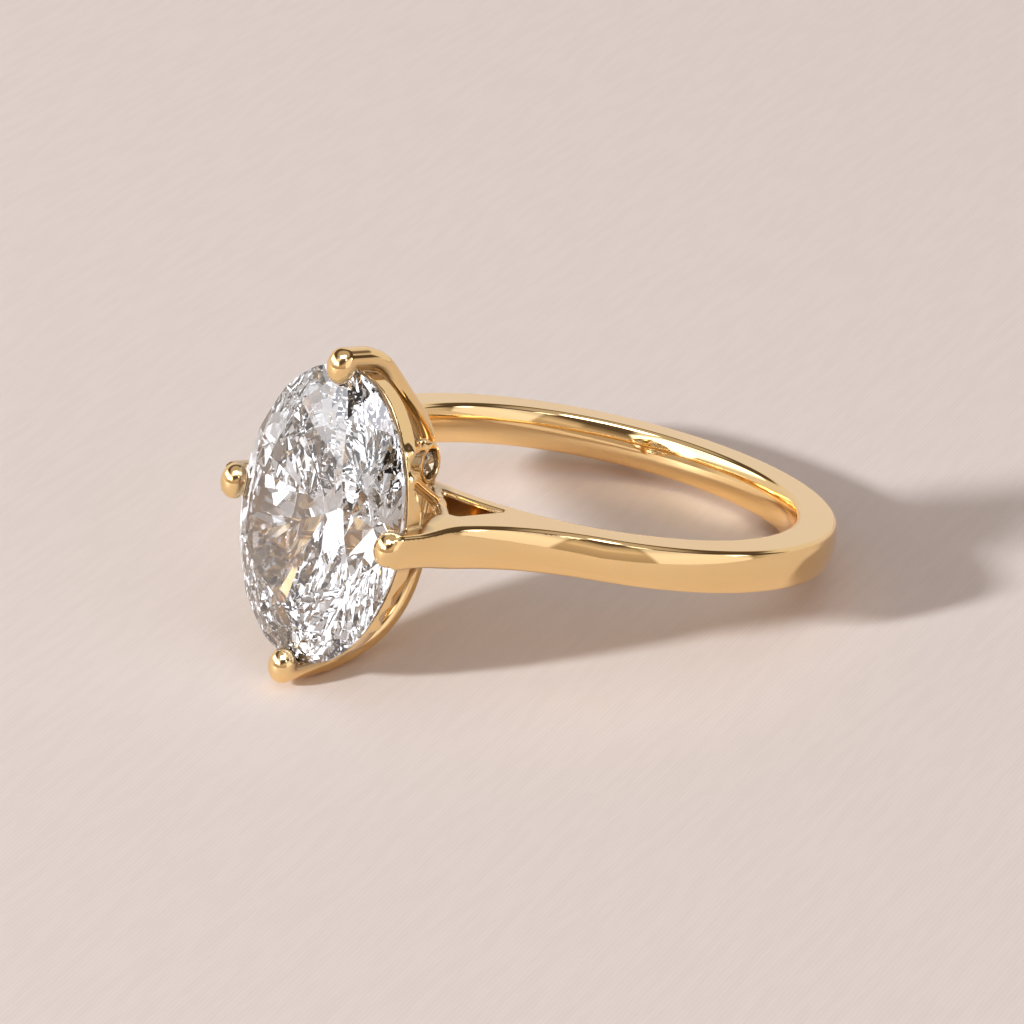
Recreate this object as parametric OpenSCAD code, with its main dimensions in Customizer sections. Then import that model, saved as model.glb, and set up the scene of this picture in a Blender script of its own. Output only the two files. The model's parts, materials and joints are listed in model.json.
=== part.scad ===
// Three-stone engagement ring, lying on its side as it rests by itself.
// Yellow gold, with one large oval stone between four ball-ended prongs and a
// small round stone in a collet at the foot of each long-end prong.
//
// The ring is drawn upright in its own frame, and the finished ring is then
// leaned over as a whole. In its own frame the finger hole runs along Z, the
// head with the stones points to -X, and +Y and -Y mirror each other. The
// origin is the middle of the finger hole.
//
// Places on the head are given by their rise, the height above the wall of
// the finger hole, so a rise of h lies at x = -(finger_r + h).

/* [Finger hole] */
// Inside diameter of the ring
finger_d = 16.5; // [15.5:0.1:18]

/* [Band] */
// Thickness of the band from the finger to the outside
band_t = 1.8; // [1.6:0.05:2]
// Width of the band along the finger
band_w = 1.7; // [1.6:0.05:2]
// Rounding of the band's long edges
band_round = 0.22; // [0.1:0.02:0.3]
// Thickness of the thin bridge that closes the circle under the stones
bridge_t = 0.95; // [0.8:0.05:1.1]

/* [Shoulders] */
// Radius of the sweep from the band up into a side prong
sweep_r = 9; // [8.5:0.25:9.5]
// Distance from the ring's middle plane to a side prong's outer face
side_out = 4.7; // [4.65:0.05:4.8]
// Distance from the middle plane to the outer edge of a shoulder's window
window_edge = 3.4; // [3.3:0.05:3.5]
// Thickness of the slanted strap between the bridge and a side prong
strap_t = 0.5; // [0.4:0.05:0.6]

/* [Oval stone] */
// Rise of the middle of the stone's girdle
girdle_rise = 6.59; // [6.5:0.01:6.7]
// Length of the stone, along the finger
stone_l = 11.48; // [11.4:0.02:11.52]
// Width of the stone, across the finger
stone_w = 8.14; // [8.1:0.02:8.16]
// Height of the crown, from the girdle to the table
crown_h = 1.15; // [1:0.05:1.2]
// Depth of the pavilion, from the girdle to the point
pavilion_h = 3.5; // [3.2:0.05:3.5]
// Thickness of the girdle
girdle_t = 0.22; // [0.16:0.01:0.24]

/* [Prongs] */
// Width of a long-end prong, across the finger
prong_w = 1; // [0.9:0.05:1.1]
// Thickness of a long-end prong
prong_t = 0.9; // [0.8:0.05:0.95]
// Rounding of the prongs' edges
prong_round = 0.28; // [0.2:0.02:0.36]
// Radius of the ball on each prong
ball_r = 0.47; // [0.44:0.01:0.48]

/* [Small stones] */
// Diameter of a small round stone
small_d = 1.1; // [1.04:0.02:1.12]
// Outside diameter of the collet that holds it
collet_d = 1.54; // [1.5:0.02:1.6]
// Length of the collet
collet_l = 1.3; // [1.2:0.05:1.4]

/* [Hidden] */
$fn = 48;
big_fn = 160;

finger_r = finger_d / 2;
band_r = finger_r + band_t;
bridge_r = finger_r + bridge_t;
half_w = band_w / 2;
// Gap between a stone and the metal that holds it
clear = 0.03;
// Radius of an edge's rounding, in parts of its centre's depth below the faces
round_reach = 1.02;
// How far, and by what angle, one shape runs on into the next
lap = 0.3;
lap_angle = 1.7;
// How far a cutting shape runs on past the face that it cuts
through = 0.5;

// Shoulder sweep: an arc that leaves the band's outer face smoothly and comes
// to run straight up the side prong. Its centre lies at [-sweep_x, -sweep_y].
sweep_y = side_out + sweep_r;
sweep_x = sqrt(pow(band_r + sweep_r, 2) - pow(sweep_y, 2));
sweep_a = atan2(sweep_y, sweep_x);

// Side prong. It narrows along the finger in a gentle S between two rises,
// from the band's width to its own, and its inner face moves outwards.
side_start = 3.6;
side_slim = 6.1;
side_tip = 7.1;
side_in_start = 3.05;
side_in_slim = 3.84;
side_half = 0.66;
side_round = 0.24;
// How far the prong's skin starts inside the shoulder's own faces, and how far
// the shoulder and then its rounding run on past the start of the narrowing
side_inset = 0.02;
side_lap = 0.05;
// Centre of its ball, as [rise, distance out]
side_ball = [7.2, 4.18];

// Long-end prongs by their outer faces, from the tip down to the bridge, as
// [straight length, radius of the bend after it, angle of that bend]
UPPER_PRONG = [[1.4, 1.3, 40.5], [3.2, 4.5, 44.5], [1.3, 0, 0]];
LOWER_PRONG = [[1.75, 8, 18], [0, 3.9, 60], [2.4, 0, 0]];
// Start of the outer face at the tip, as [rise, distance out, slope inwards]
upper_tip = [7.05, 6.5, 0];
lower_tip = [7, 6.58, 7];
// Centre of the ball, as [rise, distance out]
upper_ball = [7.18, 5.92];
lower_ball = [7.2, 5.87];

// How far the notch in the prongs reaches below and above the girdle
notch_below = 0.24;
notch_above = 0.19;

// Rounded end of each prong, as [part of its length, part of its girth]
tip_l = 0.45;
TIP = [[0.94, 0.34], [0.77, 0.64], [0.5, 0.87], [0.17, 0.985]];

// Rail under the girdle that ties the prongs together. Its section slopes
// with the stone above it: [distance in from the girdle's edge, rise]
RAIL = [
    [0.14, 5.48], [0.22, 5.4], [0.46, 5.4], [0.56, 5.5],
    [0.56, 5.86], [0.5, 5.94], [0.1, 6.28], [0.04, 6.25],
];
// An arch in its lower edge between each two prongs: its radius, its top's
// rise, and where it crosses the rail as [distance out, distance along]
arch_r = 1.65;
arch_top = 5.98;
arch_at = [3.5, 2.65];

// Slanted strap, from the bridge to the side prong, as [rise, distance out]
strap_foot = [0.8, 0.25];
strap_top = [3.35, 3.2];
// Corner of the window beside the strap's top, cut off over [rise, distance out]
window_corner = [0.25, 0.2];

// Struts from the rail's quarters down to the side prongs and the collets:
// the two ends, each as [rise, distance out, distance along the finger]
strut_r = 0.22;
PRONG_STRUT = [[5.82, 3.38, 2.4], [2.3, 1.8, 0.75]];
COLLET_STRUT = [[5.82, 3.02, 3.35], [2.2, 0.4, 2.4]];

// Collets at the feet of the long-end prongs
collet_rise = 1.88;
collet_z = 1.78;
collet_hole = 0.82;
// How far its face is turned back towards the finger, and away from the middle
collet_turn = 14;
collet_tip = 8;
seat_depth = 0.5;
girdle_depth = 0.24;
bead_r = 0.12;

// Proportions of a brilliant cut, in parts of the stone's half width: the
// corners of the table, and how far the star and long lower facets reach.
table_part = 0.6;
star_part = 0.5;
lower_part = 0.23;
// Height of a small stone's crown, pavilion and girdle, in parts of its diameter
small_crown = 0.15;
small_pavilion = 0.43;
small_girdle = 0.03;

// Lean of the resting ring. It lies on the lower prong's long bend and on the
// edge at the back of the band, so its lean is the slope of the line that
// touches both rounds. Both are mirrored to +Z here, and given as
// [distance towards the head, distance along the finger].
bend_r = LOWER_PRONG[0][1];
bend_start = [finger_r + lower_tip[0], lower_tip[1]]
    - LOWER_PRONG[0][0] * [cos(lower_tip[2]), sin(lower_tip[2])];
bend_c = bend_start + bend_r * [sin(lower_tip[2]), -cos(lower_tip[2])];
back_c = [-(band_r - band_round), half_w - band_round];
apart = bend_c - back_c;
lean = atan2(apart[1], apart[0]) + asin((bend_r - band_round) / norm(apart));

// Moves a child from heights above the finger's wall to the ring's frame.
module on_head() {
    translate([-finger_r, 0, 0]) children();
}

// Four arcs that join smoothly in an oval of half length a and half width b:
// [end radius, end centre, side radius, side centre, angle where they meet]
function oval_arcs(a, b) =
    let(
        end_r = 1.08 * b * b / a,
        end_c = a - end_r,
        side_r = (end_c * end_c + b * b - end_r * end_r) / (2 * (b - end_r)),
        side_c = side_r - b
    )
    [end_r, end_c, side_r, side_c, atan2(end_c, side_c)];

// A smooth step from 0 to 1 as x goes from 0 to 1
function ease(x) = let(t = max(0, min(1, x))) t * t * (3 - 2 * t);

// Points of a rectangle with rounded corners, centred on the origin
function rounded(w, h, r, n = 3) = [
    for (quarter = [0 : 3], i = [0 : n])
        let(
            a = quarter * 90 + i * 90 / n,
            sx = quarter == 0 || quarter == 3 ? 1 : -1,
            sy = quarter < 2 ? 1 : -1
        )
        [sx * (w / 2 - r) + r * cos(a), sy * (h / 2 - r) + r * sin(a)]
];

// A closed skin over rings of points. All rings have the same count, and run
// clockwise as seen from beyond the last one.
module skin(rings) {
    n = len(rings[0]);
    last = (len(rings) - 1) * n;
    polyhedron(
        points = [for (ring = rings) each ring],
        faces = concat(
            [[for (i = [n - 1 : -1 : 0]) i]],
            [[for (i = [0 : n - 1]) last + i]],
            [for (start = [0 : n : last - n], i = [0 : n - 1])
                [start + i, start + (i + 1) % n, start + n + i]],
            [for (start = [0 : n : last - n], i = [0 : n - 1])
                [start + (i + 1) % n, start + n + (i + 1) % n, start + n + i]]
        ),
        convexity = 4
    );
}

// The slanted strap from the middle of the bridge up to a side prong, in plan.
module strap() {
    run = strap_top - strap_foot;
    translate([-finger_r - strap_foot[0], -strap_foot[1]])
        rotate(atan2(-run[1], -run[0]))
            translate([0, -strap_t / 2]) square([norm(run), strap_t]);
}

// A shoulder in plan, between its sweep, its window and the bridge.
module shoulder() {
    far = finger_r + side_start + side_lap;
    // It overlaps the band a little beyond the point where the sweep leaves it
    inside = sweep_a + lap_angle;
    beyond = band_r + lap;
    difference() {
        polygon([
            [-far, -beyond * sin(inside)],
            beyond * [-cos(inside), -sin(inside)],
            (finger_r + lap) * [-cos(inside), -sin(inside)],
            [-finger_r, -window_edge],
            [-finger_r - strap_top[0] + window_corner[0], -window_edge],
            [-finger_r - strap_top[0], -strap_top[1] + window_corner[1]],
            [-far, -side_in_start],
        ]);
        translate([-sweep_x, -sweep_y]) circle(sweep_r, $fn = big_fn);
    }
}

// The flat part of the ring seen along the finger: band, bridge, shoulders
// and straps, with the windows between them left open.
module plan() {
    difference() {
        union() {
            circle(bridge_r, $fn = big_fn);
            intersection() {
                circle(band_r, $fn = big_fn);
                translate([-band_r * cos(sweep_a) - lap, -band_r]) square(2 * band_r);
            }
            for (m = [0, 1]) mirror([0, m]) {
                shoulder();
                strap();
            }
        }
        circle(finger_r, $fn = big_fn);
    }
}

// What is cut away to round both edges along an arc of the given radius.
// The metal lies outside the arc where side is 1 and inside it where it's -1.
// The rounding meets both faces at a slight angle, so that it cuts them cleanly.
module edge_waste(r, side, start = 0, sweep = 360) {
    for (m = [0, 1]) mirror([0, 0, m])
        rotate([0, 0, start]) rotate_extrude(angle = sweep, $fn = big_fn)
            translate([r, half_w]) difference() {
                square(2 * band_round, center = true);
                translate([side * band_round, -band_round]) circle(round_reach * band_round);
            }
}

// Band, bridge, shoulders and straps, with rounded edges.
module band() {
    last = acos((sweep_x - finger_r - side_start - 2 * side_lap) / sweep_r);
    difference() {
        translate([0, 0, -half_w]) linear_extrude(band_w) plan();
        edge_waste(finger_r, 1);
        edge_waste(band_r, -1, sweep_a - 180, 360 - 2 * sweep_a);
        for (m = [0, 1]) mirror([0, m, 0])
            translate([-sweep_x, -sweep_y, 0])
                edge_waste(sweep_r, 1, sweep_a, last - sweep_a);
    }
}

// One ring of a side prong's skin at a rise, drawn in to the given girth.
function side_ring(rise, girth = 1) =
    let(
        slim = ease((rise - side_start) / (side_slim - side_start)),
        half = half_w + (side_half - half_w) * slim,
        inner = side_in_start + (side_in_slim - side_in_start) * slim,
        arc = max(0, sweep_x - finger_r - rise),
        outer = sweep_y - sqrt(pow(sweep_r, 2) - pow(arc, 2)),
        inset = side_inset * (1 - slim)
    )
    [for (p = rounded(outer - inner - 2 * inset, 2 * (half - inset), side_round))
        [-rise, -(inner + outer) / 2 + girth * p[0], girth * p[1]]];

// A side prong, from inside the shoulder up past the girdle to a rounded tip
// with a ball on its inner side.
module side_prong() {
    step = 0.25;
    on_head() {
        skin(concat(
            [for (rise = [side_start - 2 * step : step : side_tip]) side_ring(rise)],
            [for (i = [len(TIP) - 1 : -1 : 0])
                side_ring(side_tip + TIP[i][0] * tip_l, TIP[i][1])]
        ));
        translate([-side_ball[0], -side_ball[1], 0]) sphere(ball_r);
    }
}

// Stations along a long-end prong's outer face, each as [place, slope], with
// the place as [rise, distance out]. Bends are taken in steps of 6 degrees.
function prong_path(rows, place, slope, i = 0) =
    i == len(rows) ? [] :
    let(
        bend_from = place - rows[i][0] * [cos(slope), sin(slope)],
        r = rows[i][1],
        centre = bend_from + r * [sin(slope), -cos(slope)],
        next = slope + rows[i][2],
        steps = ceil(rows[i][2] / 6)
    )
    concat(
        i == 0 ? [[place, slope]] : [],
        rows[i][0] > 0 ? [[bend_from, slope]] : [],
        [for (k = [1 : 1 : steps])
            let(a = slope + rows[i][2] * k / steps)
            [centre + r * [-sin(a), cos(a)], a]],
        prong_path(rows, centre + r * [-sin(next), cos(next)], next, i + 1)
    );

// One ring of a long-end prong's skin at a station, drawn in to a girth.
function long_ring(station, girth = 1) =
    let(
        a = station[1],
        middle = station[0] - prong_t / 2 * [-sin(a), cos(a)]
    )
    [for (p = girth * rounded(prong_t, prong_w, prong_round))
        [-(middle[0] - p[0] * sin(a)), p[1], middle[1] + p[0] * cos(a)]];

// One long-end prong on the +Z side, with its rounded tip and its ball.
module long_prong(tip, rows, ball) {
    place = [tip[0], tip[1]];
    slope = tip[2];
    on_head() {
        skin(concat(
            [for (t = TIP)
                long_ring([place + t[0] * tip_l * [cos(slope), sin(slope)], slope], t[1])],
            [for (station = prong_path(rows, place, slope)) long_ring(station)]
        ));
        translate([-ball[0], 0, ball[1]]) sphere(ball_r);
    }
}

// One arc of the rail, from angle start over angle sweep, round a centre
// given as [distance across the finger, distance along it].
module rail_arc(centre, r, start, sweep) {
    translate([0, centre[0], centre[1]])
        rotate([90, 0, 90]) rotate([0, 0, start])
            rotate_extrude(angle = sweep, $fn = big_fn)
                polygon([for (p = RAIL) [r - p[0], -p[1]]]);
}

// The oval rail under the girdle that ties the four prongs together.
module rail() {
    arcs = oval_arcs(stone_l / 2, stone_w / 2);
    meet = arcs[4];
    // Outward direction of the girdle's edge at an arch
    facing = atan2(arch_at[1] * pow(stone_w, 2), arch_at[0] * pow(stone_l, 2));
    on_head() difference() {
        for (turn = [0, 180]) rotate([turn, 0, 0]) {
            rail_arc([0, arcs[1]], arcs[0], meet, 180 - 2 * meet);
            rail_arc([-arcs[3], 0], arcs[2], -meet, 2 * meet);
        }
        for (y = [-1, 1], z = [-1, 1])
            translate([-arch_top + arch_r, y * arch_at[0], z * arch_at[1]])
                rotate([-y * z * facing, 0, 0]) rotate([90, 0, 0])
                    cylinder(h = 3, r = arch_r, center = true);
    }
}

// A round rod between two points.
module rod(from, to, r) {
    run = to - from;
    translate(from)
        rotate([0, acos(run[2] / norm(run)), atan2(run[1], run[0])])
            cylinder(h = norm(run), r = r);
}

// The struts from the rail's quarters to the side prongs and the collets.
module struts() {
    on_head()
        for (ends = [PRONG_STRUT, COLLET_STRUT], y = [-1, 1], z = [-1, 1])
            rod([-ends[0][0], y * ends[0][1], z * ends[0][2]],
                [-ends[1][0], y * ends[1][1], z * ends[1][2]], strut_r);
}

// Puts a child at a collet's middle, with +Z of the child out of its face.
// side is 1 for the upper collet and -1 for the lower one.
module at_collet(side) {
    on_head() translate([-collet_rise, 0, side * collet_z])
        rotate([90 - side * collet_tip, 0, collet_turn]) children();
}

// The seat for a small stone's girdle, and the narrower hole behind it.
module collet_bore() {
    cylinder(h = collet_l + 2 * through, d = collet_hole, center = true);
    translate([0, 0, collet_l / 2 - seat_depth])
        cylinder(h = seat_depth + through, d = small_d + 2 * clear);
}

// Four beads on a collet's rim that reach over the edge of its stone.
module beads() {
    for (a = [45 : 90 : 315]) rotate([0, 0, a])
        translate([small_d / 2 + 2 * clear, 0, collet_l / 2]) sphere(bead_r);
}

// The oval stone's outline, grown by the given amount, with its length on Y.
module oval(grow) {
    arcs = oval_arcs(stone_l / 2, stone_w / 2);
    ends = arcs[1] + arcs[0] * sin(arcs[4]);
    for (s = [-1, 1]) translate([0, s * arcs[1]]) circle(arcs[0] + grow, $fn = big_fn);
    intersection() {
        translate([-arcs[3], 0]) circle(arcs[2] + grow, $fn = big_fn);
        translate([arcs[3], 0]) circle(arcs[2] + grow, $fn = big_fn);
        square([stone_w * 2, 2 * ends], center = true);
    }
}

// The notch that the girdle sits in, cut across all four prongs.
module girdle_notch() {
    below = girdle_t / 2 + notch_below;
    above = girdle_t / 2 + notch_above;
    on_head() translate([-girdle_rise - above, 0, 0])
        rotate([90, 0, 90]) linear_extrude(below + above) oval(clear);
}

// The four prongs, each notched for the girdle.
module prongs() {
    difference() {
        union() {
            for (m = [0, 1]) mirror([0, m, 0]) side_prong();
            long_prong(upper_tip, UPPER_PRONG, upper_ball);
            mirror([0, 0, 1]) long_prong(lower_tip, LOWER_PRONG, lower_ball);
        }
        girdle_notch();
    }
}

// A brilliant-cut stone with its girdle round the origin and its table on +Z,
// of half length a on X and half width b on Y. Each facet is flat, so the
// girdle is thinner between its 16 corners, as on a real stone. parts is the
// number of outline pieces between two corners.
module brilliant(a, b, crown, pavilion, girdle, parts) {
    eighth = 45;
    half = eighth / 2;
    n = 16 * parts;
    step = 360 / n;
    top = girdle / 2 + crown;
    low = -girdle / 2 - pavilion;
    star_at = table_part * cos(half) + star_part * (1 - table_part * cos(half));
    star_top = top - crown * (star_at * cos(half) - table_part) / (1 - table_part);
    long_low = low + pavilion * lower_part * cos(half);
    // The chord between two corners of the girdle, seen from the middle
    chord = cos(half / 2);
    // Height that a half facet loses for each part of the half width outwards
    crown_fall = (star_top - girdle / 2) / (chord - star_at * cos(half / 2));
    pavilion_fall = (-girdle / 2 - long_low) / (chord - lower_part * cos(half / 2));
    // How far the outline lies beyond the chord at its point i
    beyond = [for (i = [0 : n - 1]) cos((i % parts) * step - half / 2) - chord];
    function at(r, angle, z) = [a * r * cos(angle), b * r * sin(angle), z];
    points = concat(
        [for (k = [0 : 7]) at(table_part, k * eighth, top)],
        [for (k = [0 : 7]) at(star_at, k * eighth + half, star_top)],
        [for (i = [0 : n - 1]) at(1, i * step, girdle / 2 - crown_fall * beyond[i])],
        [for (i = [0 : n - 1]) at(1, i * step, -girdle / 2 + pavilion_fall * beyond[i])],
        [for (k = [0 : 7]) at(lower_part, k * eighth + half, long_low)],
        [[0, 0, low]]
    );
    // Where each group of points starts in the list
    star = 8;
    upper = 16;
    under = upper + n;
    long = under + n;
    tip = long + 8;
    function wrap(i) = (i + n) % n;
    // The outline from girdle corner c to the next one
    function edge(from, c) = [for (i = [0 : parts]) from + wrap(c * parts + i)];
    function back(list) = [for (i = [len(list) - 1 : -1 : 0]) list[i]];
    faces = concat(
        [[for (k = [7 : -1 : 0]) k]],
        [for (k = [0 : 7]) [k, (k + 1) % 8, star + k]],
        [for (k = [0 : 7]) [star + (k + 7) % 8, k, star + k, upper + 2 * k * parts]],
        [for (c = [0 : 15]) concat([star + floor(c / 2)], back(edge(upper, c)))],
        [for (i = [0 : n - 1]) [upper + i, upper + wrap(i + 1), under + wrap(i + 1), under + i]],
        [for (c = [0 : 15]) concat([long + floor(c / 2)], edge(under, c))],
        [for (k = [0 : 7]) [long + k, long + (k + 7) % 8, under + 2 * k * parts]],
        [for (k = [0 : 7]) [tip, long + (k + 7) % 8, long + k]]
    );
    polyhedron(points, faces, convexity = 2);
}

module gold_ring() {
    color("goldenrod")
        rotate([0, lean, 0]) {
            difference() {
                union() {
                    band();
                    prongs();
                    rail();
                    struts();
                    for (side = [-1, 1])
                        at_collet(side) cylinder(h = collet_l, d = collet_d, center = true);
                }
                for (side = [-1, 1]) at_collet(side) collet_bore();
            }
            for (side = [-1, 1]) at_collet(side) beads();
        }
}

module oval_stone() {
    color("whitesmoke")
        rotate([0, lean, 0]) on_head() translate([-girdle_rise, 0, 0]) rotate([0, -90, 0])
            brilliant(stone_l / 2, stone_w / 2, crown_h, pavilion_h, girdle_t, 4);
}

// side is 1 for the stone in the upper collet and -1 for the lower one.
module small_stone(side) {
    color("whitesmoke")
        rotate([0, lean, 0]) at_collet(side)
            translate([0, 0, collet_l / 2 - girdle_depth])
                brilliant(small_d / 2, small_d / 2, small_crown * small_d, small_pavilion * small_d,
                small_girdle * small_d, 2);
}

gold_ring();
oval_stone();
small_stone(1);  // small_stone_upper
small_stone(-1);  // small_stone_lower
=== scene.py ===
# %% [markdown]
# # A gold ring with an oval stone, resting on its side
#
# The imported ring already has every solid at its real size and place. This
# lesson dresses it for a close look. The gold is rebuilt as one smooth,
# seamless skin, the stones get the optics of diamond, and a pale floor with
# soft studio light surrounds them.

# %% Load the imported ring
import json
import math

import bpy
import numpy as np
from mathutils import Matrix, Vector


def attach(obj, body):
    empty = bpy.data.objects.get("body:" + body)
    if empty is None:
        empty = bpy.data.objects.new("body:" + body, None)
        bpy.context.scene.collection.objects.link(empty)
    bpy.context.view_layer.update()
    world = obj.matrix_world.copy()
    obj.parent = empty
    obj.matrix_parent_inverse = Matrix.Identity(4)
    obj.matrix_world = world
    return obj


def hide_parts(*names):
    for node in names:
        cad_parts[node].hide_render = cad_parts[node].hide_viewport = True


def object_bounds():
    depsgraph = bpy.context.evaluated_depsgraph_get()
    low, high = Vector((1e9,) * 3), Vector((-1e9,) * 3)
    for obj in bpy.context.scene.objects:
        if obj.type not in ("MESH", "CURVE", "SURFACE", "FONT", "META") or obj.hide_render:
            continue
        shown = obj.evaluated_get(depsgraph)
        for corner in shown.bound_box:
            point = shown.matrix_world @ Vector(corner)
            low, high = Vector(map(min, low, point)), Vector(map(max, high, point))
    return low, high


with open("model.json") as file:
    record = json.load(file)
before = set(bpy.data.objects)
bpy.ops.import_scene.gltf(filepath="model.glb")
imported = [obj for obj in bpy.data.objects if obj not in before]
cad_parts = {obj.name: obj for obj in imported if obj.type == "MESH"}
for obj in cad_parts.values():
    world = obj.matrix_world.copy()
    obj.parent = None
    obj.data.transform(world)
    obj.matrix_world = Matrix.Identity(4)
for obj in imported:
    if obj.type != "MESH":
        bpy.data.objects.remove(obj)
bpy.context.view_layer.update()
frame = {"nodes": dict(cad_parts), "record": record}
MM = 0.001

# %% [markdown]
# ## The ring's own frame
#
# A jeweller draws a ring upright, with the finger hole along Z. Here the head
# with the stones points to -X, and +Y and -Y mirror each other. The packed
# ring leans over as it rests, and its finger hole's axis tells by how much.
# Every shape below is worked out upright, in millimetres, and then leaned.

# %% Read the lean and the finger size from the frame
hole = frame["record"]["mounts"][0]
finger_r = hole["dims"]["r_mm"]
lean = math.atan2(hole["axis"][0], hole["axis"][2])
print("finger radius", finger_r, "mm, lean", round(math.degrees(lean), 2), "degrees")


def leaned(points):
    """Turn upright points by the lean about Y: x' = x cos + z sin and z' = z cos - x sin."""
    x, y, z = points[..., 0], points[..., 1], points[..., 2]
    return np.stack([
        x * math.cos(lean) + z * math.sin(lean),
        y,
        z * math.cos(lean) - x * math.sin(lean),
    ], axis=-1)


# %% [markdown]
# ## The driving sizes
#
# These are the sizes that the solids were built from, apart from the finish.
# The buffed edges (names that end in _round) and the long balls on the prongs
# are drawn here as they look after polishing, where the solids keep simpler
# forms. "Rise" is the height above the wall of the finger hole, so a rise of h
# lies at x = -(finger_r + h).

# %% Sizes of the gold in millimetres
band_t = 1.8
band_w = 1.7
band_round = 0.14
dome_r = 2.15
bridge_t = 0.95
sweep_r = 9.0
side_out = 4.7
window_edge = 3.4
strap_t = 0.5
prong_w = 1.0
prong_t = 0.9
prong_round = 0.42
ball_long = 0.68
ball_wide = 0.55
girdle_rise = 6.59
girdle_t = 0.22
stone_l = 11.48
stone_w = 8.14
crown_h = 1.15
pavilion_h = 3.5
table_part = 0.6
clear = 0.03

band_r = finger_r + band_t
bridge_r = finger_r + bridge_t
half_w = band_w / 2
print("band", band_t, "x", band_w, "mm, oval stone", stone_l, "x", stone_w, "mm")

# %% [markdown]
# ## Building with a distance field
#
# Cast and soldered gold has no hard joins: where two bars meet there is a
# little fillet, and every edge is buffed round. Boxes and bevels would need
# care at each of those joins. A distance field gives them all at once. It is
# one function that says how far any point lies from the metal's surface, with
# minus signs inside the metal. Shapes are joined, cut and rounded by simple
# arithmetic on their distances.

# %% Join, cut and round distances


def joined(a, b, r):
    """Both shapes, with a fillet: max(r, min(a, b)) - hypot(max(r - a, 0), max(r - b, 0))."""
    ua = np.maximum(r - a, 0)
    ub = np.maximum(r - b, 0)
    return np.maximum(r, np.minimum(a, b)) - np.hypot(ua, ub)


def trimmed(a, b, r):
    """What both share, edge rounded: min(-r, max(a, b)) + hypot(max(r + a, 0), max(r + b, 0))."""
    ua = np.maximum(r + a, 0)
    ub = np.maximum(r + b, 0)
    return np.minimum(-r, np.maximum(a, b)) + np.hypot(ua, ub)


print("a fillet of 0.3 mm fills a square corner by", round(-float(joined(0, 0, 0.3)), 3), "mm")

# %% Ease between two values, and measure from a flat bar


def ease(t):
    """A smooth step: 3 t squared - 2 t cubed between 0 and 1."""
    t = np.clip(t, 0, 1)
    return t * t * (3 - 2 * t)


def bar(px, py, start, end, half):
    """Distance from a flat bar, from how far a point is along and across its middle line."""
    run = np.array(end) - np.array(start)
    length = np.hypot(*run)
    run = run / length
    forward = (px - start[0]) * run[0] + (py - start[1]) * run[1]
    across = np.abs((py - start[1]) * run[0] - (px - start[0]) * run[1]) - half
    beyond = np.abs(forward - length / 2) - length / 2
    outside = np.hypot(np.maximum(across, 0), np.maximum(beyond, 0))
    return outside + np.minimum(np.maximum(across, beyond), 0)


print("halfway through an ease:", float(ease(0.5)))

# %% [markdown]
# ## Band, bridge, shoulders and side prongs
#
# Seen along the finger, the ring is a flat outline. Its outer edge is the
# band's circle, which a large arc carries smoothly up into the straight side
# prong. Inside lie the finger hole and a three-sided window between the
# shoulder, the thin bridge and a slanted strap. The outline is given a
# thickness along Z, which slims towards the prong's tip in a gentle S. The
# band's walls are slightly domed, as a polishing wheel leaves them.

# %% The flat outline's sizes
sweep_y = side_out + sweep_r
sweep_x = math.sqrt((band_r + sweep_r) ** 2 - sweep_y ** 2)
sweep_a = math.atan2(sweep_y, sweep_x)
side_start = 3.6
side_slim = 6.1
side_half = 0.66
side_in_start = 3.05
side_in_slim = 3.84
side_top = 7.55
narrow_start = 2.9
narrow_run = 0.5
strap_foot = (0.8, 0.25)
strap_top = (3.35, 3.2)
dome_reach = 1.5
corner_fillet = 0.15
window_round = 0.2
top_round = 0.6
print("the sweep leaves the band", round(math.degrees(sweep_a), 1), "degrees from the head")

# %% The flat outline and its thickness


def outer_edge(x, y):
    """Distance beyond the outer edge: the band's circle, the sweep's arc or the straight prong."""
    circle = np.hypot(x, y) - band_r
    arc = sweep_r - np.hypot(x + sweep_x, y - sweep_y)
    straight = y - side_out
    on_band = np.arctan2(y, -x) > sweep_a
    return np.where(on_band, circle, np.where(-x > sweep_x, straight, arc))


def flat_part(x, y, z):
    """The outline's distances, trimmed to a thickness that eases from the band's to the prong's."""
    y = np.abs(y)
    rise = -x - finger_r
    slim = ease((rise - side_start) / (side_slim - side_start))
    thick = np.abs(z) - (half_w + (side_half - half_w) * slim)
    rho = np.hypot(x, y)
    dome = dome_r - np.sqrt(dome_r ** 2 - np.minimum(np.abs(z), dome_reach) ** 2)
    blank = np.maximum(outer_edge(x, y) + dome, finger_r - rho + dome)
    blank = trimmed(blank, thick, band_round)
    narrow = ease((rise - narrow_start) / narrow_run)
    inner = window_edge + (side_in_start - window_edge) * narrow
    inner = inner + (side_in_slim - side_in_start) * slim
    shoulder = np.where(x < 0, inner - y, -band_r)
    bridge = rho - bridge_r
    strap = bar(rise, y, strap_foot, strap_top, strap_t / 2)
    solid = joined(joined(shoulder, bridge, corner_fillet), strap, corner_fillet)
    flat = trimmed(blank, solid, window_round)
    return trimmed(flat, rise - side_top, top_round)


band_middle = np.array([finger_r + band_t / 2]), np.zeros(1), np.zeros(1)
print("the band's middle lies", round(-float(flat_part(*band_middle)[0]), 3), "mm under its skin")

# %% [markdown]
# ## Long-end prongs
#
# The two prongs at the ends of the oval flare out like a tulip. Each follows
# a path of straight runs and bends in the XZ plane. For any point, the nearest
# run gives its distance from the prong's outer face, and that distance with
# the width across gives a bar of rounded square section.

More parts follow.
